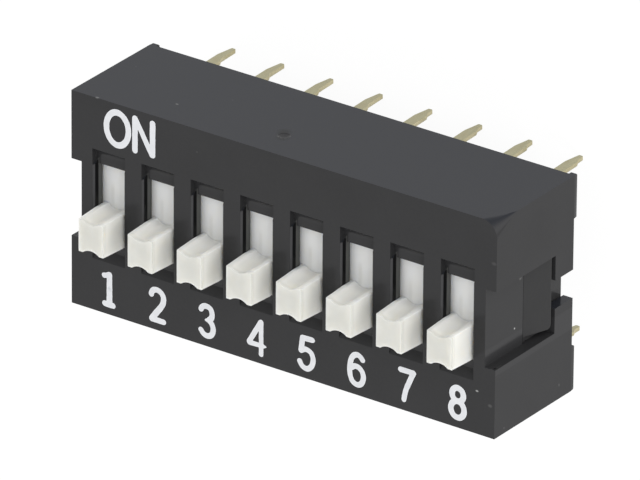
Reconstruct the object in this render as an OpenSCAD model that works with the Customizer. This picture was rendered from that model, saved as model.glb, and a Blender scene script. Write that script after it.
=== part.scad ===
// Eight-way slide dip switch, through-hole, 2.54 mm pitch, rows 7.62 mm apart.
// X runs along the row of switches, +Y points to the ON side, +Z points the way
// the knobs stand. The origin is the centre of the seating plane, the plane of
// the four corner feet; the terminals go down from there.

/* [Housing] */
// Width of the housing across the rows, at the face
body_w = 9.88; // [9.70:0.02:10.10]
// Growth of the width from the face to the bottom edge (mould draft)
body_draft = 0.04; // [0.00:0.01:0.08]
// Height of the face above the seating plane
body_h = 5.89; // [5.79:0.01:6.09]
// Distance from the outer switch's centre to the end of the housing
end_margin = 1.935; // [1.90:0.005:2.10]
// Height of the corner feet
foot_h = 0.30; // [0.20:0.02:0.36]

/* [Slots] */
// Half width of a slot at the face
slot_hw = 0.845; // [0.80:0.005:0.86]
// Half width of the throat that guides the knob
throat_hw = 0.703; // [0.700:0.001:0.72]
// Half length of a slot at the face
slot_hl = 2.545; // [2.45:0.005:2.60]
// Depth of the step at each end of a slot
step_d = 0.29; // [0.20:0.01:0.32]

/* [Sliders] */
// Height of the knob above the face
knob_h = 1.26; // [0.90:0.02:1.40]
// Half width of the knob at its face
knob_hw = 0.645; // [0.60:0.005:0.65]
// Half length of the knob at its face
knob_hl = 0.755; // [0.70:0.005:0.77]
// Radius of the hollow in each end of the knob
groove_r = 0.664; // [0.65:0.002:0.75]
// Depth of that hollow
groove_d = 0.150; // [0.10:0.005:0.16]
// Distance that a slider is from the middle of its slot at either stop
half_travel = 0.91; // [0.80:0.01:0.94]

/* [Terminals] */
// Length of the terminals below the seating plane
pin_len = 3.08; // [2.80:0.02:3.60]
// Thickness of the strip they are stamped from
pin_t = 0.18; // [0.16:0.01:0.22]
// Width of a terminal just below the housing
pin_w = 0.47; // [0.43:0.01:0.50]
// Width of its blade
blade_w = 0.37; // [0.34:0.01:0.40]
// How far the terminals splay outwards, in degrees, to grip the board
splay = 2.0; // [0.0:0.5:4.0]

/* [Hidden] */
$fn = 48;
e = 0.01;

ways = 8;
pitch = 2.54;
row_y = 3.81;
function way_x(i) = (i - (ways + 1) / 2) * pitch;

L = (ways - 1) / 2 * pitch + end_margin;   // half length of the housing
Wt = body_w / 2;                           // half width at the face
Wb = Wt + body_draft / 2;                  // half width at the bottom edge

// levels
z_step = body_h - step_d;                  // floor of the slot's end steps
z_roof = body_h - 0.54;                    // underside of the cover's face wall
z_plate = z_roof - 0.11;                   // top of the slider plates
plate_t = 0.50;
z_floor = 3.15;                            // floor of the base, flush with the pads
z_base = 0.40;                             // underside of the base

// cavity of the cover and what fits in it
cav_x = L - 0.895;
cav_y = Wt - 0.82;
fit = 0.03;
rib_hw = 0.24;

// latch at each end
notch_hw = 1.785;                          // half width of the notch
notch_d = 0.525;                           // depth of the notch in the end face
lintel_z = 3.17;                           // top of the window
sill_z = 1.60;                             // top of the two fingers
finger_t = 0.47;
finger_gap = 0.65;                         // half of the gap between the fingers
catch_z = 1.77;                            // catch face of the base's wedge
wedge_y = [-1.50, 1.755];                  // where the wedge starts and ends
wedge_r = 0.22;
tongue_x = L - 0.53;                       // outer face of the base's tongue

// ---------------------------------------------------------------- cover

// cross section of the housing, with its draft
module housing_section() {
  polygon([[-Wb, foot_h], [Wb, foot_h], [Wt, body_h], [-Wt, body_h]]);
}

// a prism along X from a profile drawn in Y and Z
module along_x(x0, x1) {
  translate([x0, 0, 0]) rotate([90, 0, 90]) linear_extrude(x1 - x0) children();
}

// a prism along Y from a profile drawn in X and Z
module along_y(y0, y1) {
  translate([0, y1, 0]) rotate([90, 0, 0]) linear_extrude(y1 - y0) children();
}

module box(lo, hi) { translate(lo) cube(hi - lo); }

// one slot: a shallow step at each end and a funnelled middle down to the
// throat; the step's floor curves up to the face at the ON end and ramps up to
// it at the other
step_y = 2.06;                             // inner end of the steps
open_y = 1.795;                             // end of the through opening
cove_r = 0.40;                             // radius that the floor curves up with
ramp_l = 0.365;                            // length of the ramp at the other end
module slot() {
  cove_y = slot_hl - sqrt(cove_r * cove_r - (cove_r - step_d) * (cove_r - step_d));
  box([-slot_hw, step_y, z_step], [slot_hw, cove_y, body_h + 1]);
  translate([-slot_hw, cove_y, z_step + cove_r]) rotate([0, 90, 0]) cylinder(h = 2 * slot_hw, r = cove_r);
  along_x(-slot_hw, slot_hw)
    polygon([[-step_y, z_step], [-step_y, body_h + 1], [-slot_hl, body_h + 1], [-slot_hl, body_h],
      [-slot_hl + ramp_l, z_step]]);
  along_y(-step_y - e / 2, step_y + e / 2)
    polygon([[-throat_hw, z_step], [-throat_hw, body_h - 0.235], [-slot_hw + 0.086, body_h - 0.086],
      [-slot_hw, body_h], [-slot_hw, body_h + 1], [slot_hw, body_h + 1], [slot_hw, body_h],
      [slot_hw - 0.086, body_h - 0.086], [throat_hw, body_h - 0.235], [throat_hw, z_step]]);
  box([-throat_hw, -open_y, z_roof - 1], [throat_hw, open_y, body_h + 1]);
}

// a corner foot at +X +Y: drafted outside, chamfered at its outer end and
// eased where it meets the board
module foot() {
  intersection() {
    along_y(Wb - 2.0, Wb)
      polygon([[L - 0.30, 0.06], [L - 0.25, 0], [L - 0.10, 0], [L - 0.03, 0.08], [L, foot_h + 0.1],
        [L - 0.30, foot_h + 0.1]]);
    along_x(L - 1, L + 1)
      polygon([[Wb - 2.0, foot_h + 0.1], [Wb - 1.97, 0], [Wb - 0.13, 0], [Wb, 0.14], [Wb, foot_h + 0.1]]);
  }
}

// what rounds off one corner of the face, fading to nothing down the edge
corner_r = 0.78;
corner_d = 1.5;
function corner_arc(n) = [for (k = [0 : n]) let (a = 90 * k / n)
  [L - corner_r + corner_r * sin(a), Wt - corner_r + corner_r * cos(a)]];
module corner_cut() {
  arc = corner_arc(10);
  top = concat(arc, [[L + 0.02, Wt - corner_r], [L + 0.02, Wt + 0.03], [L - corner_r, Wt + 0.03]]);
  n = len(top);
  polyhedron(
    points = concat([for (p = top) [p[0], p[1], body_h + 0.02]],
      [[L + 0.01, Wt + 0.02, body_h - corner_d]]),
    faces = concat([[for (k = [n - 1 : -1 : 0]) k]],
      [for (k = [0 : n - 1]) [k, (k + 1) % n, n]]));
}

module cover() {
  color([0.08, 0.08, 0.085]) difference() {
    union() {
      along_x(-L, L) housing_section();
      for (sx = [0, 1], sy = [0, 1]) mirror([sx, 0, 0]) mirror([0, sy, 0]) foot();
    }
    // cavity, with the guide ribs left standing between the sliders
    difference() {
      box([-cav_x, -cav_y, -1], [cav_x, cav_y, z_roof]);
      for (i = [1 : ways - 1])
        box([way_x(i) + pitch / 2 - rib_hw, -cav_y - 1, z_floor + 0.05],
            [way_x(i) + pitch / 2 + rib_hw, cav_y + 1, z_roof + 1]);
    }
    for (i = [1 : ways]) translate([way_x(i), 0, 0]) slot();
    for (sx = [0, 1]) mirror([sx, 0, 0]) {
      // notch in the end face
      box([L - notch_d, -notch_hw, sill_z], [L + 1, notch_hw, body_h + 1]);
      // window that the base's wedge snaps into
      box([cav_x - e, -notch_hw, sill_z], [L + 1, notch_hw, lintel_z]);
      // room behind the fingers, and the gap between them
      box([cav_x - e, -notch_hw, -1], [L - finger_t, notch_hw, sill_z + e]);
      box([cav_x - e, -finger_gap, -1], [L + 1, finger_gap, sill_z + e]);
    }
    corner_cut();
    // gate mark on the long side, a shallow dimple
    translate([-1.05, Wt + 0.315, 4.28]) sphere(r = 0.415);
  }
}

// ----------------------------------------------------------------- base

module base() {
  color([0.10, 0.10, 0.10]) difference() {
    union() {
      box([-cav_x + fit, -cav_y + fit, z_base], [cav_x - fit, cav_y - fit, z_floor]);
      // tongue and snap wedge at each end
      for (sx = [0, 1]) mirror([sx, 0, 0]) {
        box([0, -notch_hw + 0.06, z_base], [tongue_x, notch_hw - 0.06, lintel_z - 0.03]);
        difference() {
          along_y(wedge_y[0], wedge_y[1])
            polygon([[tongue_x - 0.2, catch_z], [L - 0.08, catch_z], [L - 0.08, catch_z + 0.06],
              [tongue_x, lintel_z - 0.03], [tongue_x - 0.2, lintel_z - 0.03]]);
          // the lower corner away from the ON side is rounded off
          translate([tongue_x + e, wedge_y[0], catch_z]) difference() {
            translate([0, -0.1, -0.1]) cube([1, 0.1 + wedge_r, 0.1 + wedge_r]);
            translate([-0.1, wedge_r, wedge_r]) rotate([0, 90, 0]) cylinder(h = 1.2, r = wedge_r);
          }
        }
      }
    }
    // the floor stays clear under the outer sliders
    box([-cav_x + fit, -notch_hw, z_floor], [cav_x - fit, notch_hw, z_floor + 1]);
    for (i = [1 : ways]) translate([way_x(i), 0, 0]) {
      terminal_bed("a");
      terminal_bed("b");
    }
    // cored pockets under the base
    for (k = [0 : 3])
      box([-8.2 + k * 4.2, -1.9, z_base - 1], [-4.4 + k * 4.2, 1.9, z_base + 1.1]);
  }
}

// the space that one terminal takes up in the base
module terminal_bed(side) {
  m = side == "a" ? 0 : 1;
  mirror([0, m, 0]) {
    box([-pad_hw, pad_y(side), z_floor - pin_t], [pad_hw, row_y + pin_t / 2, z_floor + 1]);
    box([-stem_hw, row_y - pin_t / 2, z_base - 1], [stem_hw, row_y + pin_t / 2, z_floor]);
  }
}

// ------------------------------------------------------------- terminals

pad_hw = 0.60;
stem_hw = 0.45;
// where a pad starts: the ON side's pad is reached only at ON
function pad_y(side) = side == "a" ? 1.75 : 0.60;

// the blade steps in on one side and tapers on the other to a blunt tip;
// it stands a little to one side of its stem
pin_off = -0.07;
module blade(step_z) {
  r = -pin_w / 2 + blade_w;
  translate([pin_off, 0])
    polygon([[-pin_w / 2, z_base + e], [-pin_w / 2, -pin_len + 0.80], [-0.075, -pin_len + 0.03],
      [-0.05, -pin_len], [0.10, -pin_len], [0.13, -pin_len + 0.03], [r, step_z - 0.10],
      [pin_w / 2, step_z + 0.10], [pin_w / 2, z_base + e]]);
}

module terminal(i, side) {
  m = side == "a" ? 0 : 1;
  step_z = i <= 4 ? -pin_len + 1.18 : -pin_len + 0.50;
  color([0.72, 0.70, 0.62]) translate([way_x(i), 0, 0]) mirror([0, m, 0]) {
    difference() {
      union() {
        box([-pad_hw, pad_y(side), z_floor - pin_t], [pad_hw, row_y + pin_t / 2, z_floor]);
        box([-stem_hw, row_y - pin_t / 2, z_base], [stem_hw, row_y + pin_t / 2, z_floor]);
        translate([0, row_y, z_base]) rotate([splay, 0, 0]) translate([0, 0, -z_base])
          along_y(-pin_t / 2, pin_t / 2) blade(step_z);
      }
      // bend radius on the outside of the knee
      translate([0, row_y + pin_t / 2, z_floor]) rotate([0, 90, 0]) difference() {
        translate([-0.1, -0.08, -1]) cube([0.18, 0.18, 2]);
        translate([0.08, -0.08, -1.1]) cylinder(h = 2.2, r = 0.08);
      }
    }
  }
}

// --------------------------------------------------------------- sliders

z_knob = body_h + knob_h;
plate_hw = 1.0;
plate_hl = 2.95;
rail_z = 3.75;                             // bottom of the slider's side rails
draft = 0.034;                             // growth of the knob per mm, down to the face
strip_t = 0.12;                            // thickness of the bridging contact

// one outline of the knob: drafted above the face, straight below it
module knob_outline(half) {
  b = draft * knob_h;
  polygon([[-half - b, z_plate - e], [half + b, z_plate - e], [half + b, body_h],
    [half, z_knob], [-half, z_knob], [-half - b, body_h]]);
}

module knob() {
  difference() {
    intersection() {
      along_y(-2, 2) knob_outline(knob_hw);
      along_x(-2, 2) knob_outline(knob_hl);
    }
    for (s = [-1, 1])
      translate([0, s * (knob_hl + groove_r - groove_d), z_plate])
        cylinder(h = 3, r = groove_r, $fn = 72);
  }
}

module slider(i) {
  color([0.93, 0.93, 0.90]) translate([way_x(i), -half_travel, 0]) {
    box([-plate_hw, -plate_hl, z_plate - plate_t], [plate_hw, plate_hl, z_plate]);
    knob();
    // two rails that carry the bridging contact, with nibs under its middle
    for (s = [-1, 1]) {
      box([s > 0 ? 0.55 : -plate_hw + 0.05, -2.1, rail_z], [s > 0 ? plate_hw - 0.05 : -0.55, 2.1, z_plate - plate_t + e]);
      box([s > 0 ? 0.42 : -0.56, -0.5, z_plate - plate_t - strip_t - 0.16],
          [s > 0 ? 0.56 : -0.42, 0.5, z_plate - plate_t - strip_t - 0.02]);
    }
  }
}

// -------------------------------------------------------------- contacts

// middle line of the spring strip, from its centre to one end
c_top = z_plate - plate_t - 0.01 - strip_t / 2;
c_tip = z_floor + 0.02 + strip_t / 2;
tip_r = 0.30;
function half_line() = concat(
  [[0.75, c_top]],
  [for (a = [15 : 15 : 45]) [0.75 + 0.4 * sin(a), c_top - 0.4 * (1 - cos(a))]],
  [for (a = [-45 : 15 : 60]) [1.90 + tip_r * sin(a), c_tip + tip_r * (1 - cos(a))]]);
function flip(v) = [for (k = [len(v) - 1 : -1 : 0]) [-v[k][0], v[k][1]]];
function unit(v) = v / norm(v);
function normal_at(p, k) = let (
    t = unit(unit(p[min(k + 1, len(p) - 1)] - p[k == len(p) - 1 ? k - 1 : k])
      + unit(p[k == 0 ? 1 : k] - p[max(k - 1, 0)])))
  [-t[1], t[0]];
function strip(p, h) = concat(
  [for (k = [0 : len(p) - 1]) p[k] + h * normal_at(p, k)],
  [for (k = [len(p) - 1 : -1 : 0]) p[k] - h * normal_at(p, k)]);

module contact(i) {
  line = concat(flip(half_line()), half_line());
  color([0.80, 0.68, 0.42]) translate([way_x(i), -half_travel, 0])
    along_x(-0.5, 0.5) polygon(strip(line, strip_t / 2));
}

cover();
base();
slider(1);  // slider_1
slider(2);  // slider_2
slider(3);  // slider_3
slider(4);  // slider_4
slider(5);  // slider_5
slider(6);  // slider_6
slider(7);  // slider_7
slider(8);  // slider_8
contact(1);  // contact_1
contact(2);  // contact_2
contact(3);  // contact_3
contact(4);  // contact_4
contact(5);  // contact_5
contact(6);  // contact_6
contact(7);  // contact_7
contact(8);  // contact_8
terminal(1, "a");  // terminal_1a
terminal(2, "a");  // terminal_2a
terminal(3, "a");  // terminal_3a
terminal(4, "a");  // terminal_4a
terminal(5, "a");  // terminal_5a
terminal(6, "a");  // terminal_6a
terminal(7, "a");  // terminal_7a
terminal(8, "a");  // terminal_8a
terminal(1, "b");  // terminal_1b
terminal(2, "b");  // terminal_2b
terminal(3, "b");  // terminal_3b
terminal(4, "b");  // terminal_4b
terminal(5, "b");  // terminal_5b
terminal(6, "b");  // terminal_6b
terminal(7, "b");  // terminal_7b
terminal(8, "b");  // terminal_8b
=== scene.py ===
import math
import bpy
import bmesh
import numpy as np
from mathutils import Vector, Matrix, noise


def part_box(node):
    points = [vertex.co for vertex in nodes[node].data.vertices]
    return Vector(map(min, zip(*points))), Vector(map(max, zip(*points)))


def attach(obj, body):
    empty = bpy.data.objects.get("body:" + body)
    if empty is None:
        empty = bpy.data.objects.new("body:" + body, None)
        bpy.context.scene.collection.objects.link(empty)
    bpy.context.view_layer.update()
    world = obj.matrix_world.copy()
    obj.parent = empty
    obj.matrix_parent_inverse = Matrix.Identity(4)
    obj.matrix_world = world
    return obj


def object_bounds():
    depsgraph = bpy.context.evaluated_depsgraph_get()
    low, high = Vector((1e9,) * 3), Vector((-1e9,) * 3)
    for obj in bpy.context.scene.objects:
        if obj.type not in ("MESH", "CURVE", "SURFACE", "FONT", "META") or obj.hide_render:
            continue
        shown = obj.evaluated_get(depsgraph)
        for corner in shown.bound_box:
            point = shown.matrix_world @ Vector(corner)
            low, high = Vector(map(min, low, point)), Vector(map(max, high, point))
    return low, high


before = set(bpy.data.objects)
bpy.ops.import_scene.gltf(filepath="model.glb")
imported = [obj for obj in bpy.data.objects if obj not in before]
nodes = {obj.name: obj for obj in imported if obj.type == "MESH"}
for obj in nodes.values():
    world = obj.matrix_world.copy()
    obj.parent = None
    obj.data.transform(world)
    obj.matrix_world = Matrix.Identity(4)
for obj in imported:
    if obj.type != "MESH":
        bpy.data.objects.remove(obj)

MM = 0.001
CAD = [list(v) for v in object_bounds()]
scene = bpy.context.scene

cover_lo, cover_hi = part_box("cover")
FACE = cover_hi.z                      # the cover's face
WAYS = 8
way_x = [(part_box(f"slider_{i}")[0].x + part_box(f"slider_{i}")[1].x) / 2 for i in range(1, WAYS + 1)]
floor_z = CAD[0][2]                    # the tips of the terminals

# ------------------------------------------------------------------ camera
AZ, EL, ROLL = math.radians(35.3225), math.radians(25.7469), math.radians(0.4678)
OX, OY, DIST, FOCAL = -1.8155, -1.0892, 500.671, 11974.97
back = Vector((math.sin(AZ) * math.cos(EL), math.sin(EL), math.cos(AZ) * math.cos(EL)))
right = Vector((0, 1, 0)).cross(back).normalized()
up = back.cross(right)
right, up = (math.cos(ROLL) * right + math.sin(ROLL) * up,
             -math.sin(ROLL) * right + math.cos(ROLL) * up)
cam_data = bpy.data.cameras.new("camera")
cam_data.sensor_width = 36.0
cam_data.lens = FOCAL * 36.0 / 640.0
cam_data.clip_start, cam_data.clip_end = 0.01, 20.0
cam = bpy.data.objects.new("camera", cam_data)
scene.collection.objects.link(cam)
m = Matrix.Identity(4)
m.col[0][:3], m.col[1][:3], m.col[2][:3] = right, up, back
m.col[3][:3] = (back * DIST + right * OX + up * OY) * MM
cam.matrix_world = m
scene.camera = cam

# ----------------------------------------------------------- node helpers
class Mat:
    """A small builder for procedural materials."""

    def __init__(self, name):
        self.mat = bpy.data.materials.new(name)
        self.mat.use_nodes = True
        self.nt = self.mat.node_tree
        self.nt.nodes.clear()
        self.out = self.nt.nodes.new("ShaderNodeOutputMaterial")
        self.bsdf = self.nt.nodes.new("ShaderNodeBsdfPrincipled")
        self.nt.links.new(self.bsdf.outputs[0], self.out.inputs[0])
        self.coord = self.nt.nodes.new("ShaderNodeTexCoord").outputs["Object"]

    def link(self, a, b):
        self.nt.links.new(a, b)

    def put(self, socket, value):
        if isinstance(value, bpy.types.NodeSocket):
            self.link(value, socket)
        elif value is not None:
            socket.default_value = value

    def set(self, name, value):
        self.put(self.bsdf.inputs[name], value)

    def math(self, op, a, b=None, c=None, clamp=False):
        n = self.nt.nodes.new("ShaderNodeMath")
        n.operation, n.use_clamp = op, clamp
        for s, v in zip(n.inputs, (a, b, c)):
            self.put(s, v)
        return n.outputs[0]

    def vmath(self, op, a, b=None, scale=None, out=0):
        n = self.nt.nodes.new("ShaderNodeVectorMath")
        n.operation = op
        self.put(n.inputs[0], a)
        if b is not None:
            self.put(n.inputs[1], b)
        if scale is not None:
            self.put(n.inputs["Scale"], scale)
        return n.outputs[out]

    def noise(self, per_mm, detail=2.0, rough=0.5, seed=0.0, stretch=None, distort=0.0):
        v = self.coord
        if stretch is not None:
            v = self.vmath("MULTIPLY", v, stretch)
        if seed:
            v = self.vmath("ADD", v, (seed * 0.0137, seed * 0.0071, seed * 0.0193))
        n = self.nt.nodes.new("ShaderNodeTexNoise")
        self.put(n.inputs["Vector"], v)
        n.inputs["Scale"].default_value = per_mm * 1000
        n.inputs["Detail"].default_value = detail
        n.inputs["Roughness"].default_value = rough
        n.inputs["Distortion"].default_value = distort
        return n.outputs["Fac"]

    def cells(self, per_mm, seed=0.0, feature="F1", out="Distance", rnd=1.0):
        v = self.coord
        if seed:
            v = self.vmath("ADD", v, (seed * 0.0113, seed * 0.0059, seed * 0.0171))
        n = self.nt.nodes.new("ShaderNodeTexVoronoi")
        n.feature = feature
        self.put(n.inputs["Vector"], v)
        n.inputs["Scale"].default_value = per_mm * 1000
        n.inputs["Randomness"].default_value = rnd
        return n.outputs[out]

    def ramp(self, fac, lo, hi, a=0.0, b=1.0, smooth=False):
        n = self.nt.nodes.new("ShaderNodeMapRange")
        n.interpolation_type = "SMOOTHSTEP" if smooth else "LINEAR"
        n.clamp = True
        self.put(n.inputs["Value"], fac)
        n.inputs["From Min"].default_value, n.inputs["From Max"].default_value = lo, hi
        n.inputs["To Min"].default_value, n.inputs["To Max"].default_value = a, b
        return n.outputs["Result"]

    def mix(self, fac, a, b, mode="MIX"):
        n = self.nt.nodes.new("ShaderNodeMix")
        n.data_type, n.blend_type = "RGBA", mode
        self.put(n.inputs[0], fac)
        self.put(n.inputs[6], a if isinstance(a, bpy.types.NodeSocket) else (*a, 1.0))
        self.put(n.inputs[7], b if isinstance(b, bpy.types.NodeSocket) else (*b, 1.0))
        return n.outputs[2]

    def bump(self, height, dist_mm, strength=1.0, normal=None):
        n = self.nt.nodes.new("ShaderNodeBump")
        n.inputs["Strength"].default_value = strength
        n.inputs["Distance"].default_value = dist_mm * MM
        self.put(n.inputs["Height"], height)
        if normal is not None:
            self.put(n.inputs["Normal"], normal)
        return n.outputs[0]

    def spot(self, at, r_mm, soft=0.5, squeeze=(1, 1, 1)):
        """1 inside a small spot round a point given in mm, 0 outside."""
        v = self.vmath("SUBTRACT", self.coord, tuple(c * MM for c in at))
        v = self.vmath("MULTIPLY", v, squeeze)
        d = self.vmath("LENGTH", v, out=1)
        return self.ramp(d, r_mm * MM * (1 - soft), r_mm * MM, 1.0, 0.0, smooth=True)

    def edge(self, radius_mm, lo=0.02, hi=0.35):
        """0 on flats, up to 1 on the convex and concave edges."""
        b = self.nt.nodes.new("ShaderNodeBevel")
        b.samples = 6
        b.inputs["Radius"].default_value = radius_mm * MM
        g = self.nt.nodes.new("ShaderNodeNewGeometry")
        d = self.vmath("DOT_PRODUCT", b.outputs[0], g.outputs["Normal"], out=1)
        return self.ramp(self.math("SUBTRACT", 1.0, d), lo, hi)

    def normal_axis(self, k):
        g = self.nt.nodes.new("ShaderNodeNewGeometry")
        s = self.nt.nodes.new("ShaderNodeSeparateXYZ")
        self.link(g.outputs["Normal"], s.inputs[0])
        return s.outputs[k]


def black_plastic(name, base, rough, specks=(), seed=0.0, gloss=0.12, gate_shade=(), slots=False):
    m = Mat(name)
    cloud = m.noise(0.28, 3, 0.55, seed=1 + seed)
    fine = m.noise(9.0, 2, 0.6, seed=2 + seed)
    a = tuple(c * 0.93 for c in base)
    b = tuple(c * 1.07 for c in base)
    col = m.mix(m.ramp(cloud, 0.3, 0.7), a, b)
    col = m.mix(m.ramp(fine, 0.35, 0.65, 0.0, 0.16), col, tuple(c * 1.35 for c in base))
    # edges painted a little paler: partly wear, partly a painted highlight where the edges catch light
    edge = m.math("MULTIPLY", m.edge(0.04), m.ramp(m.noise(3.0, 3, 0.6, seed=3 + seed), 0.42, 0.68))
    col = m.mix(m.math("MULTIPLY", edge, 0.16), col, (0.085, 0.085, 0.087))
    # the corners between the side walls are painted paler, a painted highlight that lifts the dark shading of their
    # facets
    corner = m.math("ADD", m.math("ABSOLUTE", m.normal_axis(0)), m.math("ABSOLUTE", m.normal_axis(1)))
    col = m.mix(m.math("MULTIPLY", m.ramp(corner, 1.12, 1.36, smooth=True), 0.9), col, tuple(c * 1.85 for c in base))
    # faces turned to the side away from the numbers are painted darker and cooler, a painted shade for the light
    # they catch
    plus_y_side_shade = m.ramp(m.normal_axis(1), 0.5, 0.9, smooth=True)
    col = m.mix(plus_y_side_shade, col, tuple(c * t for c, t in zip(base, (0.76, 0.83, 1.0))))
    if slots:
        # painted light inside the slots: a painted highlight on the chamfered rim, a painted shadow band under it
        # and a painted reflection of the white slider on the throat wall
        xyz = m.nt.nodes.new("ShaderNodeSeparateXYZ")
        m.link(m.coord, xyz.inputs[0])
        u = m.math("FRACT", m.math("MULTIPLY_ADD", xyz.outputs[0], 1 / (2.54 * MM), 4.0))
        u = m.math("MULTIPLY", m.math("ABSOLUTE", m.math("SUBTRACT", u, 0.5)), 2.54)
        depth = m.math("MULTIPLY", m.math("SUBTRACT", FACE, xyz.outputs[2]), 1000.0)
        inside = m.ramp(m.math("ABSOLUTE", xyz.outputs[1]), 2.07 * MM, 2.05 * MM)

        def between(v, a, b, soft):
            return m.math("MULTIPLY", m.ramp(v, a - soft, a + soft), m.ramp(v, b + soft, b - soft))

        # the open slot below each knob is painted paler, a painted light lifting its shade
        low = m.math("MULTIPLY", m.ramp(xyz.outputs[1], -1.0 * MM, -1.1 * MM), m.math("MULTIPLY", inside, m.ramp(depth, 0.01, 0.03)))
        col = m.mix(low, col, tuple(c * 1.3 for c in base))
        # painted shadow band, painted highlight on the chamfer, painted reflection of the slider on the throat wall
        for (u0, u1), (d0, d1), tint, amount in (
                ((0.700, 0.765), (0.085, 0.232), (0.25, 0.25, 0.25), 1.0),
                ((0.765, 0.838), (0.006, 0.080), (2.10, 2.10, 2.10), 0.8),
                ((0.690, 0.712), (0.250, 0.600), (2.70, 2.75, 2.50), 0.8)):
            zone = m.math("MULTIPLY", between(u, u0, u1, 0.005), between(depth, d0, d1, 0.006))
            zone = m.math("MULTIPLY", m.math("MULTIPLY", zone, inside), amount)
            col = m.mix(zone, col, tuple(c * t for c, t in zip(base, tint)))
    # dark spots painted round the gate mark, a painted shade standing in for the shading of the mark
    for at, rad in gate_shade:
        col = m.mix(m.math("MULTIPLY", m.spot(at, rad, 0.8), 0.6), col, tuple(c * 0.1 for c in base))
    if slots:
        # the gate mark's recess is painted paler than the painted shade round it, a painted light lifting the dark
        # inside the recess
        col = m.mix(m.spot((-1.05, 4.90, 4.28), 0.34, 0.4), col, tuple(c * 1.9 for c in base))
    # pale mineral specks and dust
    dust = m.ramp(m.cells(1.3, seed=4 + seed), 0.040, 0.024)
    keep = m.ramp(m.noise(0.8, 1, 0.5, seed=5 + seed), 0.57, 0.63)
    col = m.mix(m.math("MULTIPLY", m.math("MULTIPLY", dust, keep), 0.22), col, (0.30, 0.30, 0.29))
    for at, r, squeeze, amount in specks:
        col = m.mix(m.math("MULTIPLY", m.spot(at, r, 0.7, squeeze), amount), col, (0.50, 0.50, 0.49))
    m.set("Base Color", col)
    r = m.ramp(m.noise(0.5, 4, 0.6, seed=6 + seed), 0.3, 0.7, rough - 0.02, rough + 0.02)
    r = m.math("ADD", r, m.math("MULTIPLY", m.ramp(fine, 0.3, 0.7), 0.02))
    m.set("Roughness", r)
    m.bsdf.inputs["IOR"].default_value = 1.5
    m.bsdf.inputs["Specular IOR Level"].default_value = gloss
    grain = m.bump(m.noise(22.0, 3, 0.6, seed=7 + seed), 0.002, 0.25)
    swirl = m.bump(m.noise(1.1, 2, 0.5, seed=8 + seed), 0.006, 0.18, grain)
    m.set("Normal", swirl)
    return m.mat


SPECKS = [
    # point in mm, radius in mm, squeeze, amount
    ((9.935, -2.973, 5.89), 0.070, (0.7, 1.2, 1), 0.55),
    ((10.594, -3.467, 5.89), 0.10, (0.7, 1, 1), 0.08),
    ((10.825, -4.316, 1.194), 0.075, (1, 0.8, 3.0), 0.22),
    ((10.30, -0.845, 3.762), 0.055, (1, 1, 1), 0.90),
    ((10.825, -4.696, 5.183), 0.06, (1, 1, 1), 0.09),
    ((10.30, 1.295, 3.383), 0.09, (1, 1, 0.7), 0.12),
    ((10.69, 3.05, 5.89), 0.12, (0.7, 1.2, 1), 0.05),
    ((-9.502, 4.95, 5.85), 0.08, (0.6, 1, 1), 0.22),
    ((-6.438, 4.95, 4.417), 0.07, (0.7, 1, 1), 0.22),
]
# painted shade round the gate mark: point in mm, radius in mm
GATE_SHADE_SPOTS = [((-1.12, 4.95, 4.20), 0.42), ((-0.98, 4.95, 4.45), 0.40), ((-1.26, 4.95, 3.98), 0.40)]
COVER = black_plastic("cover_black", (0.0255, 0.0255, 0.0265), 0.13, SPECKS, gate_shade=GATE_SHADE_SPOTS, slots=True)
BASE = black_plastic("base_black", (0.0300, 0.0300, 0.0306), 0.16, seed=20)


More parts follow.
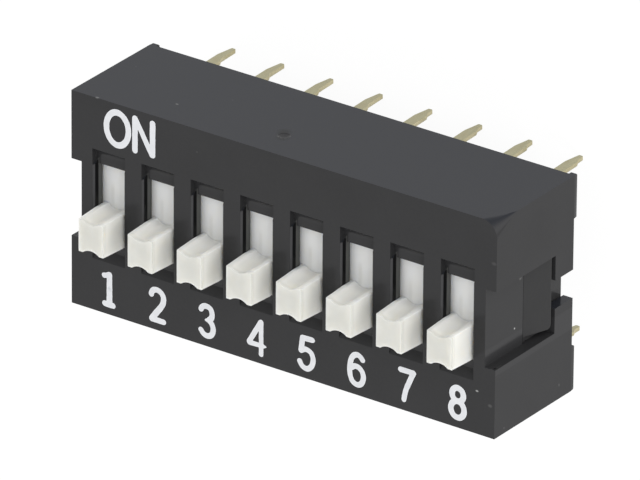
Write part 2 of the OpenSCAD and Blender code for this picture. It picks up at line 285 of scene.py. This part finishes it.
def white_plastic(name):
    m = Mat(name)
    cloud = m.noise(0.7, 3, 0.55, seed=31)
    col = m.mix(m.ramp(cloud, 0.3, 0.7), (0.705, 0.702, 0.664), (0.740, 0.738, 0.704))
    soil = m.math("MULTIPLY", m.edge(0.06), m.ramp(m.noise(4.0, 3, 0.6, seed=32), 0.45, 0.7))
    col = m.mix(m.math("MULTIPLY", soil, 0.10), col, (0.50, 0.49, 0.44))
    # the rounded edges round the knob's top are painted darker, a painted shade that keeps them from glowing
    nz = m.math("ABSOLUTE", m.normal_axis(2))
    rim_shade = m.math("MULTIPLY", m.ramp(nz, 0.08, 0.35, smooth=True), m.ramp(nz, 0.985, 0.90, smooth=True))
    col = m.mix(m.math("MULTIPLY", rim_shade, 0.85), col, (0.40, 0.398, 0.362))
    xyz = m.nt.nodes.new("ShaderNodeSeparateXYZ")
    m.link(m.coord, xyz.inputs[0])
    # painted light on the knob's hollow and on the plate down in the slot, and painted shade on the knob's top
    ends = m.ramp(m.math("ABSOLUTE", m.normal_axis(1)), 0.35, 0.75, smooth=True)
    col = m.mix(m.math("MULTIPLY", ends, 0.55), col, (0.85, 0.845, 0.81))
    # the plate down in the slot is painted paler, a painted light for the shade it lies in
    col = m.mix(m.ramp(xyz.outputs[2], FACE - 0.50 * MM, FACE - 0.62 * MM, 0.0, 0.62), col, (0.87, 0.872, 0.865))
    # the knob's top is painted darker, a painted shade for the strong light on it
    top_shade = m.ramp(xyz.outputs[2], FACE + 0.98 * MM, FACE + 1.23 * MM, smooth=True)
    top_shade = m.math("MULTIPLY", top_shade, m.ramp(m.noise(1.4, 3, 0.55, seed=37), 0.3, 0.7, 0.37, 0.50))
    col = m.mix(top_shade, col, (0.440, 0.442, 0.405))
    # a faint flow line on each plate, beside the middle of its way
    u = m.math("FRACT", m.math("MULTIPLY_ADD", xyz.outputs[0], 1 / (2.54 * MM), 4.0 + 0.26 / 2.54))
    u = m.math("ABSOLUTE", m.math("SUBTRACT", u, 0.5))
    line = m.ramp(u, 0.012, 0.055, 1.0, 0.0, smooth=True)
    line = m.math("MULTIPLY", line, m.ramp(xyz.outputs[1], 0.95 * MM, 0.55 * MM, smooth=True))
    line = m.math("MULTIPLY", line, m.ramp(xyz.outputs[1], -0.30 * MM, -0.10 * MM, smooth=True))
    line = m.math("MULTIPLY", line, m.ramp(m.noise(1.2, 2, 0.5, seed=36), 0.25, 0.6, 0.5, 1.0))
    col = m.mix(m.math("MULTIPLY", line, 0.24), col, (0.50, 0.495, 0.46))
    m.set("Base Color", col)
    m.set("Roughness", m.ramp(m.noise(2.0, 3, 0.6, seed=33), 0.3, 0.7, 0.46, 0.58))
    m.bsdf.inputs["IOR"].default_value = 1.48
    m.bsdf.inputs["Specular IOR Level"].default_value = 0.22
    m.bsdf.inputs["Subsurface Weight"].default_value = 1.0
    m.bsdf.inputs["Subsurface Radius"].default_value = (1.0, 0.95, 0.85)
    m.bsdf.inputs["Subsurface Scale"].default_value = 0.0007
    grain = m.bump(m.noise(14.0, 2, 0.6, seed=34), 0.003, 0.35)
    m.set("Normal", m.bump(m.noise(1.6, 2, 0.5, seed=35), 0.012, 0.3, grain))
    return m.mat


WHITE = white_plastic("slider_white")


def tin(name):
    m = Mat(name)
    nx = m.math("ABSOLUTE", m.normal_axis(0))
    cut = m.ramp(nx, 0.55, 0.8, smooth=True)
    streak = m.noise(3.0, 4, 0.65, seed=41, stretch=(6.0, 6.0, 0.5))
    cloud = m.noise(2.2, 3, 0.6, seed=42)
    face = m.mix(m.ramp(streak, 0.3, 0.7), (0.340, 0.320, 0.195), (0.445, 0.420, 0.280))
    face = m.mix(m.ramp(cloud, 0.45, 0.75, 0, 0.5), face, (0.375, 0.325, 0.198))
    side = m.mix(m.ramp(cloud, 0.35, 0.65), (0.44, 0.392, 0.225), (0.55, 0.497, 0.315))
    m.set("Base Color", m.mix(cut, face, side))
    m.bsdf.inputs["Metallic"].default_value = 0.85
    m.set("Roughness", m.ramp(streak, 0.3, 0.7, 0.34, 0.50))
    fine = m.bump(m.noise(12.0, 3, 0.6, seed=43, stretch=(2.0, 2.0, 0.3)), 0.004, 0.5)
    m.set("Normal", fine)
    return m.mat


TIN = tin("terminal_tin")


def gold(name):
    m = Mat(name)
    streak = m.noise(4.0, 3, 0.6, seed=51, stretch=(5.0, 0.6, 0.6))
    m.set("Base Color", m.mix(m.ramp(streak, 0.3, 0.7), (0.78, 0.56, 0.24), (0.90, 0.70, 0.36)))
    m.bsdf.inputs["Metallic"].default_value = 1.0
    m.set("Roughness", m.ramp(streak, 0.3, 0.7, 0.22, 0.36))
    m.set("Normal", m.bump(m.noise(10.0, 2, 0.6, seed=52), 0.003, 0.4))
    return m.mat


GOLD = gold("contact_gold")


def ink(name):
    m = Mat(name)
    cloud = m.noise(2.5, 3, 0.6, seed=61)
    col = m.mix(m.ramp(cloud, 0.3, 0.7), (0.605, 0.615, 0.640), (0.675, 0.685, 0.705))
    col = m.mix(m.edge(0.055, 0.01, 0.22), col, (0.800, 0.812, 0.835))
    pin_holes = m.ramp(m.cells(7.0, seed=62), 0.10, 0.05)
    thin = m.ramp(m.noise(1.5, 2, 0.5, seed=63), 0.55, 0.7)
    col = m.mix(m.math("MULTIPLY", m.math("MULTIPLY", pin_holes, thin), 0.5), col, (0.25, 0.25, 0.26))
    # a small rub through the middle of the first number
    rub = m.math("MULTIPLY", m.spot((-8.83, -3.72, 5.897), 0.15, 0.7, (1.2, 0.9, 1.0)), m.ramp(m.noise(6.0, 3, 0.6, seed=65), 0.35, 0.6))
    col = m.mix(m.math("MULTIPLY", rub, 0.6), col, (0.26, 0.30, 0.34))
    m.set("Base Color", col)
    m.set("Roughness", m.ramp(cloud, 0.3, 0.7, 0.42, 0.55))
    m.set("Normal", m.bump(m.noise(12.0, 3, 0.6, seed=64), 0.004, 0.5))
    return m.mat


INK = ink("print_white")

# ---------------------------------------------------------- edge rounding
def shade_group(degrees):
    """Smooth shading, broken where two faces meet at more than an angle."""
    g = bpy.data.node_groups.new(f"shade_by_angle_{degrees}", "GeometryNodeTree")
    g.interface.new_socket("Geometry", in_out="INPUT", socket_type="NodeSocketGeometry")
    g.interface.new_socket("Geometry", in_out="OUTPUT", socket_type="NodeSocketGeometry")
    gi, go = g.nodes.new("NodeGroupInput"), g.nodes.new("NodeGroupOutput")
    face = g.nodes.new("GeometryNodeSetShadeSmooth"); face.domain = "FACE"
    edge = g.nodes.new("GeometryNodeSetShadeSmooth"); edge.domain = "EDGE"
    ang = g.nodes.new("GeometryNodeInputMeshEdgeAngle")
    cmp_ = g.nodes.new("FunctionNodeCompare"); cmp_.data_type = "FLOAT"; cmp_.operation = "GREATER_THAN"
    cmp_.inputs[1].default_value = math.radians(degrees)
    g.links.new(gi.outputs[0], face.inputs[0])
    g.links.new(face.outputs[0], edge.inputs[0])
    g.links.new(ang.outputs[0], cmp_.inputs[0])
    g.links.new(cmp_.outputs[0], edge.inputs["Selection"])
    edge.inputs["Shade Smooth"].default_value = False
    g.links.new(edge.outputs[0], go.inputs[0])
    return g


SHADE = {a: shade_group(a) for a in (20, 30)}


def finish_part(o, material, bevel_mm, segments=2, angle=35, smooth=30):
    o.data.materials.clear()
    o.data.materials.append(material)
    w = o.modifiers.new("weld", "WELD")
    w.merge_threshold = 1e-6
    d = o.modifiers.new("planes", "DECIMATE")
    d.decimate_type, d.angle_limit = "DISSOLVE", math.radians(0.4)
    if bevel_mm:
        b = o.modifiers.new("round", "BEVEL")
        b.width, b.segments = bevel_mm * MM, segments
        b.limit_method, b.angle_limit = "ANGLE", math.radians(angle)
        b.use_clamp_overlap = True
        b.miter_outer = "MITER_SHARP"
        b.harden_normals = False
    s = o.modifiers.new("shade", "NODES")
    s.node_group = SHADE[smooth]
    n = o.modifiers.new("normals", "WEIGHTED_NORMAL")
    n.mode, n.weight, n.keep_sharp = "FACE_AREA", 100, True


finish_part(nodes["cover"], COVER, 0.018, 2, smooth=20)
finish_part(nodes["base"], BASE, 0.03, 2, smooth=20)
for i in range(1, WAYS + 1):
    finish_part(nodes[f"slider_{i}"], WHITE, 0.08, 4)
    finish_part(nodes[f"contact_{i}"], GOLD, 0.012, 1)
    for s in "ab":
        finish_part(nodes[f"terminal_{i}{s}"], TIN, 0.02, 2)

# ---------------------------------------------------------------- the print
PEN = 0.135                            # half the width of a stroke, mm


def arc(cx, cy, rx, ry, a0, a1, n=28):
    return [(cx + rx * math.cos(math.radians(a0 + (a1 - a0) * k / n)),
             cy + ry * math.sin(math.radians(a0 + (a1 - a0) * k / n))) for k in range(n + 1)]


def curve(points, n=8):
    """A smooth line through the points (Catmull-Rom)."""
    p = [points[0], *points, points[-1]]
    out = []
    for k in range(1, len(p) - 2):
        a, b, c, d = (np.array(q, float) for q in p[k - 1:k + 3])
        for t in np.arange(0, 1, 1 / n):
            out.append(tuple(0.5 * ((2 * b) + (c - a) * t + (2 * a - 5 * b + 4 * c - d) * t * t
                                    + (3 * b - a - 3 * c + d) * t ** 3)))
    return out + [tuple(points[-1])]


# Each digit is drawn in its own cell: x from the middle of its slot, y from
# the cover's lower long edge, in mm; ON is drawn from the first slot's middle.
# A stroke is (points, half width at its start, half width at its end).
DIGITS = {
    "1": [([(0.045, 1.86), (0.045, 0.50)], 0.135, 0.145),
          ([(-0.225, 1.77), (-0.12, 1.80), (0.00, 1.87)], 0.120, 0.105),
          ([(-0.195, 0.470), (0.235, 0.470)], 0.130, 0.130)],
    "2": [(curve([(-0.32, 1.61), (-0.27, 1.76), (-0.15, 1.855), (0.02, 1.87), (0.20, 1.79),
                  (0.312, 1.60), (0.302, 1.38), (0.19, 1.14), (-0.01, 0.87), (-0.17, 0.66),
                  (-0.285, 0.485)]), 0.128, 0.138),
          ([(-0.285, 0.470), (0.32, 0.470)], 0.132, 0.128)],
    "3": [(curve([(-0.285, 1.66), (-0.20, 1.80), (0.00, 1.86), (0.195, 1.79), (0.285, 1.59),
                  (0.255, 1.38), (0.15, 1.26)]), 0.125, 0.130),
          ([(-0.035, 1.215), (0.17, 1.235)], 0.060, 0.150),
          (curve([(0.15, 1.21), (0.27, 1.11), (0.345, 0.90), (0.305, 0.67), (0.165, 0.53),
                  (-0.02, 0.495), (-0.17, 0.565), (-0.285, 0.70)]), 0.130, 0.125)],
    "4": [([(0.265, 1.93), (0.275, 0.44)], 0.115, 0.112),
          ([(0.235, 1.90), (-0.345, 0.88)], 0.120, 0.115),
          ([(-0.33, 0.845), (0.36, 0.845)], 0.120, 0.105),
          ([(0.36, 0.845), (0.50, 0.85)], 0.110, 0.045)],
    "5": [([(-0.135, 1.85), (0.345, 1.865)], 0.128, 0.125),
          ([(-0.150, 1.84), (-0.225, 1.25)], 0.130, 0.130),
          (curve([(-0.225, 1.235), (-0.06, 1.335), (0.11, 1.34), (0.28, 1.26), (0.38, 1.06),
                  (0.378, 0.82), (0.29, 0.61), (0.115, 0.475), (-0.035, 0.475), (-0.18, 0.56),
                  (-0.285, 0.72)]), 0.120, 0.128)],
    "6": [(curve([(0.365, 1.685), (0.22, 1.83), (0.06, 1.86), (-0.105, 1.765), (-0.225, 1.55),
                  (-0.280, 1.26), (-0.270, 0.90), (-0.135, 0.58), (0.10, 0.485), (0.31, 0.585),
                  (0.408, 0.85), (0.365, 1.12), (0.16, 1.30), (-0.02, 1.31), (-0.19, 1.21)]),
           0.122, 0.125)],
    "7": [([(-0.255, 1.84), (0.385, 1.85)], 0.125, 0.122),
          (curve([(0.400, 1.84), (0.297, 1.62), (0.18, 1.35), (0.060, 1.06), (-0.02, 0.79),
                  (-0.072, 0.50)]), 0.125, 0.118)],
    "8": [(arc(0.086, 1.520, 0.284, 0.306, 0, 360), 0.135, 0.135),
          (arc(0.086, 0.840, 0.333, 0.374, 0, 360), 0.135, 0.135)],
}
ON_LETTERS = [
    (arc(0.460, 8.745, 0.568, 0.748, 0, 360, 60), 0.140, 0.140),
    ([(1.365, 9.475), (1.365, 8.015)], 0.137, 0.137),
    ([(2.275, 9.485), (2.275, 8.040)], 0.140, 0.137),
    ([(1.405, 9.465), (2.235, 8.035)], 0.122, 0.128),
]


def distance(strokes, X, Y):
    """Signed distance in mm to the drawn strokes, negative inside."""
    d = np.full(X.shape, 9.0)
    for pts, r0, r1 in strokes:
        p = np.array(pts, float)
        seg = np.hypot(*(p[1:] - p[:-1]).T)
        at = np.concatenate([[0], np.cumsum(seg)]) / max(seg.sum(), 1e-9)
        for k in range(len(p) - 1):
            a, b = p[k], p[k + 1]
            ab = b - a
            t = np.clip(((X - a[0]) * ab[0] + (Y - a[1]) * ab[1]) / max(ab @ ab, 1e-12), 0, 1)
            r = r0 + (r1 - r0) * (at[k] + (at[k + 1] - at[k]) * t)
            d = np.minimum(d, np.hypot(X - a[0] - ab[0] * t, Y - a[1] - ab[1] * t) - r)
    return d


def ragged(X, Y, seed, amount):
    """The slight unevenness of a printed edge."""
    out = np.zeros(X.shape)
    for i in range(X.shape[0]):
        for j in range(X.shape[1]):
            out[i, j] = noise.noise(Vector((X[i, j] * 5.5, Y[i, j] * 5.5, seed * 7.3)))
    return out * amount


def outlines(D, x0, y0, h):
    """Closed outlines of D < 0 on a grid, by marching squares."""
    ny, nx = D.shape
    seg = {}

    def cross(i0, j0, i1, j1):
        a, b = D[i0, j0], D[i1, j1]
        t = a / (a - b)
        return (x0 + h * (j0 + (j1 - j0) * t), y0 + h * (i0 + (i1 - i0) * t))

    def key(i0, j0, i1, j1):
        return (i0, j0, i1, j1)

    for i in range(ny - 1):
        for j in range(nx - 1):
            c = [D[i, j] < 0, D[i, j + 1] < 0, D[i + 1, j + 1] < 0, D[i + 1, j] < 0]
            if all(c) or not any(c):
                continue
            e = [(i, j, i, j + 1), (i, j + 1, i + 1, j + 1), (i + 1, j, i + 1, j + 1), (i, j, i + 1, j)]
            # edges in order round the cell; an edge is crossed where its two corners differ
            ends = [(0, 1), (1, 2), (3, 2), (0, 3)]
            hit = [k for k in range(4) if c[ends[k][0]] != c[ends[k][1]]]
            pairs = [(hit[0], hit[1])] if len(hit) == 2 else (
                [(0, 3), (1, 2)] if c[1] else [(0, 1), (2, 3)])
            for a, b in pairs:
                seg.setdefault(e[a], []).append(e[b])
                seg.setdefault(e[b], []).append(e[a])
    loops, used = [], set()
    for start in seg:
        if start in used:
            continue
        loop, prev, cur = [], None, start
        while cur not in used:
            used.add(cur)
            loop.append(cross(*cur))
            nxt = [n for n in seg[cur] if n != prev and n not in used]
            prev = cur
            if not nxt:
                break
            cur = nxt[0]
        if len(loop) > 8:
            loops.append(loop)
    return loops


def printed(name, strokes, origin, seed, h=0.016):
    """A thin closed mesh of the strokes on the cover's face."""
    xs = [p[0] for s in strokes for p in s[0]]
    ys = [p[1] for s in strokes for p in s[0]]
    x0, y0 = min(xs) - 0.22, min(ys) - 0.22
    nx, ny = int((max(xs) + 0.22 - x0) / h) + 2, int((max(ys) + 0.22 - y0) / h) + 2
    X, Y = np.meshgrid(x0 + h * np.arange(nx), y0 + h * np.arange(ny))
    D = distance(strokes, X, Y)
    D = D + ragged(X, Y, seed, 0.010)
    # a little blunting of inner corners, as ink does
    for _ in range(3):
        D[1:-1, 1:-1] = (D[1:-1, 1:-1] * 4 + D[:-2, 1:-1] + D[2:, 1:-1] + D[1:-1, :-2] + D[1:-1, 2:]) / 8
    cu = bpy.data.curves.new(name, "CURVE")
    cu.dimensions, cu.fill_mode = "2D", "BOTH"
    cu.extrude = 0.006
    cu.bevel_depth = 0.004
    cu.bevel_resolution = 1
    cu.offset = -0.004
    for loop in outlines(D, x0, y0, h):
        sp = cu.splines.new("POLY")
        sp.points.add(len(loop) - 1)
        for q, (x, y) in zip(sp.points, loop):
            q.co = (x, y, 0, 1)
        sp.use_cyclic_u = True
    tmp = bpy.data.objects.new(name + "_curve", cu)
    scene.collection.objects.link(tmp)
    dg = bpy.context.evaluated_depsgraph_get()
    me = bpy.data.meshes.new_from_object(tmp.evaluated_get(dg))
    bpy.data.objects.remove(tmp)
    bpy.data.curves.remove(cu)
    bm = bmesh.new()
    bm.from_mesh(me)
    bmesh.ops.remove_doubles(bm, verts=bm.verts, dist=1e-5)
    bmesh.ops.recalc_face_normals(bm, faces=bm.faces)
    for v in bm.verts:
        v.co = Vector((origin[0] + v.co.x * MM, origin[1] + v.co.y * MM, FACE + (v.co.z + 0.002) * MM))
    bm.to_mesh(me)
    bm.free()
    me.name = name
    me.materials.clear()
    me.materials.append(INK)
    o = bpy.data.objects.new(name, me)
    scene.collection.objects.link(o)
    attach(o, "housing")
    return o


low_edge = cover_lo.y + 0.02 * MM      # the long edge of the face
for k, x in enumerate(way_x):
    printed(f"print_{k + 1}", DIGITS[str(k + 1)], (x, low_edge), k + 1)
printed("print_on", ON_LETTERS, (way_x[0], low_edge), 11)

# ------------------------------------------------------------------ the floor
def floor_material():
    m = Mat("floor_pale")
    n = m.noise(0.02, 3, 0.5, seed=71)
    m.set("Base Color", m.mix(m.ramp(n, 0.3, 0.7), (0.095, 0.095, 0.095), (0.105, 0.105, 0.105)))
    m.bsdf.inputs["Roughness"].default_value = 0.9
    m.bsdf.inputs["Specular IOR Level"].default_value = 0.0
    m.bsdf.inputs["Emission Color"].default_value = (1.0, 1.0, 1.0, 1.0)
    m.bsdf.inputs["Emission Strength"].default_value = 0.93
    return m.mat


me = bpy.data.meshes.new("floor")
S = 3.0
me.from_pydata([(-S, -S, floor_z), (S, -S, floor_z), (S, S, floor_z), (-S, S, floor_z)], [], [(0, 1, 2, 3)])
me.materials.append(floor_material())
floor = bpy.data.objects.new("floor", me)
scene.collection.objects.link(floor)

# ------------------------------------------------------------------ the light
world = bpy.data.worlds.new("studio")
world.use_nodes = True
scene.world = world
bg = world.node_tree.nodes["Background"]
bg.inputs[0].default_value = (1.0, 1.0, 1.0, 1.0)
bg.inputs[1].default_value = 0.85


def area(name, at, size, power, aim=(0, 0, 0.002), colour=(1, 1, 1)):
    d = bpy.data.lights.new(name, "AREA")
    d.shape, d.size, d.energy, d.color = "DISK", size, power, colour
    o = bpy.data.objects.new(name, d)
    scene.collection.objects.link(o)
    o.location = at
    o.rotation_mode = "QUATERNION"
    o.rotation_quaternion = (Vector(aim) - Vector(at)).to_track_quat("-Z", "Y")
    return o


area("key", (0.76, 0.38, 0.42), 0.80, 3.58)
area("card", (-0.52, -0.44, 0.73), 0.80, 1.15)
area("fill", (0.73, -0.44, 0.52), 0.50, 2.3)

scene.view_settings.view_transform = "Standard"
scene.view_settings.look = "None"
scene.view_settings.exposure = 0.0
scene.view_settings.gamma = 1.0
scene.cycles.use_denoising = True
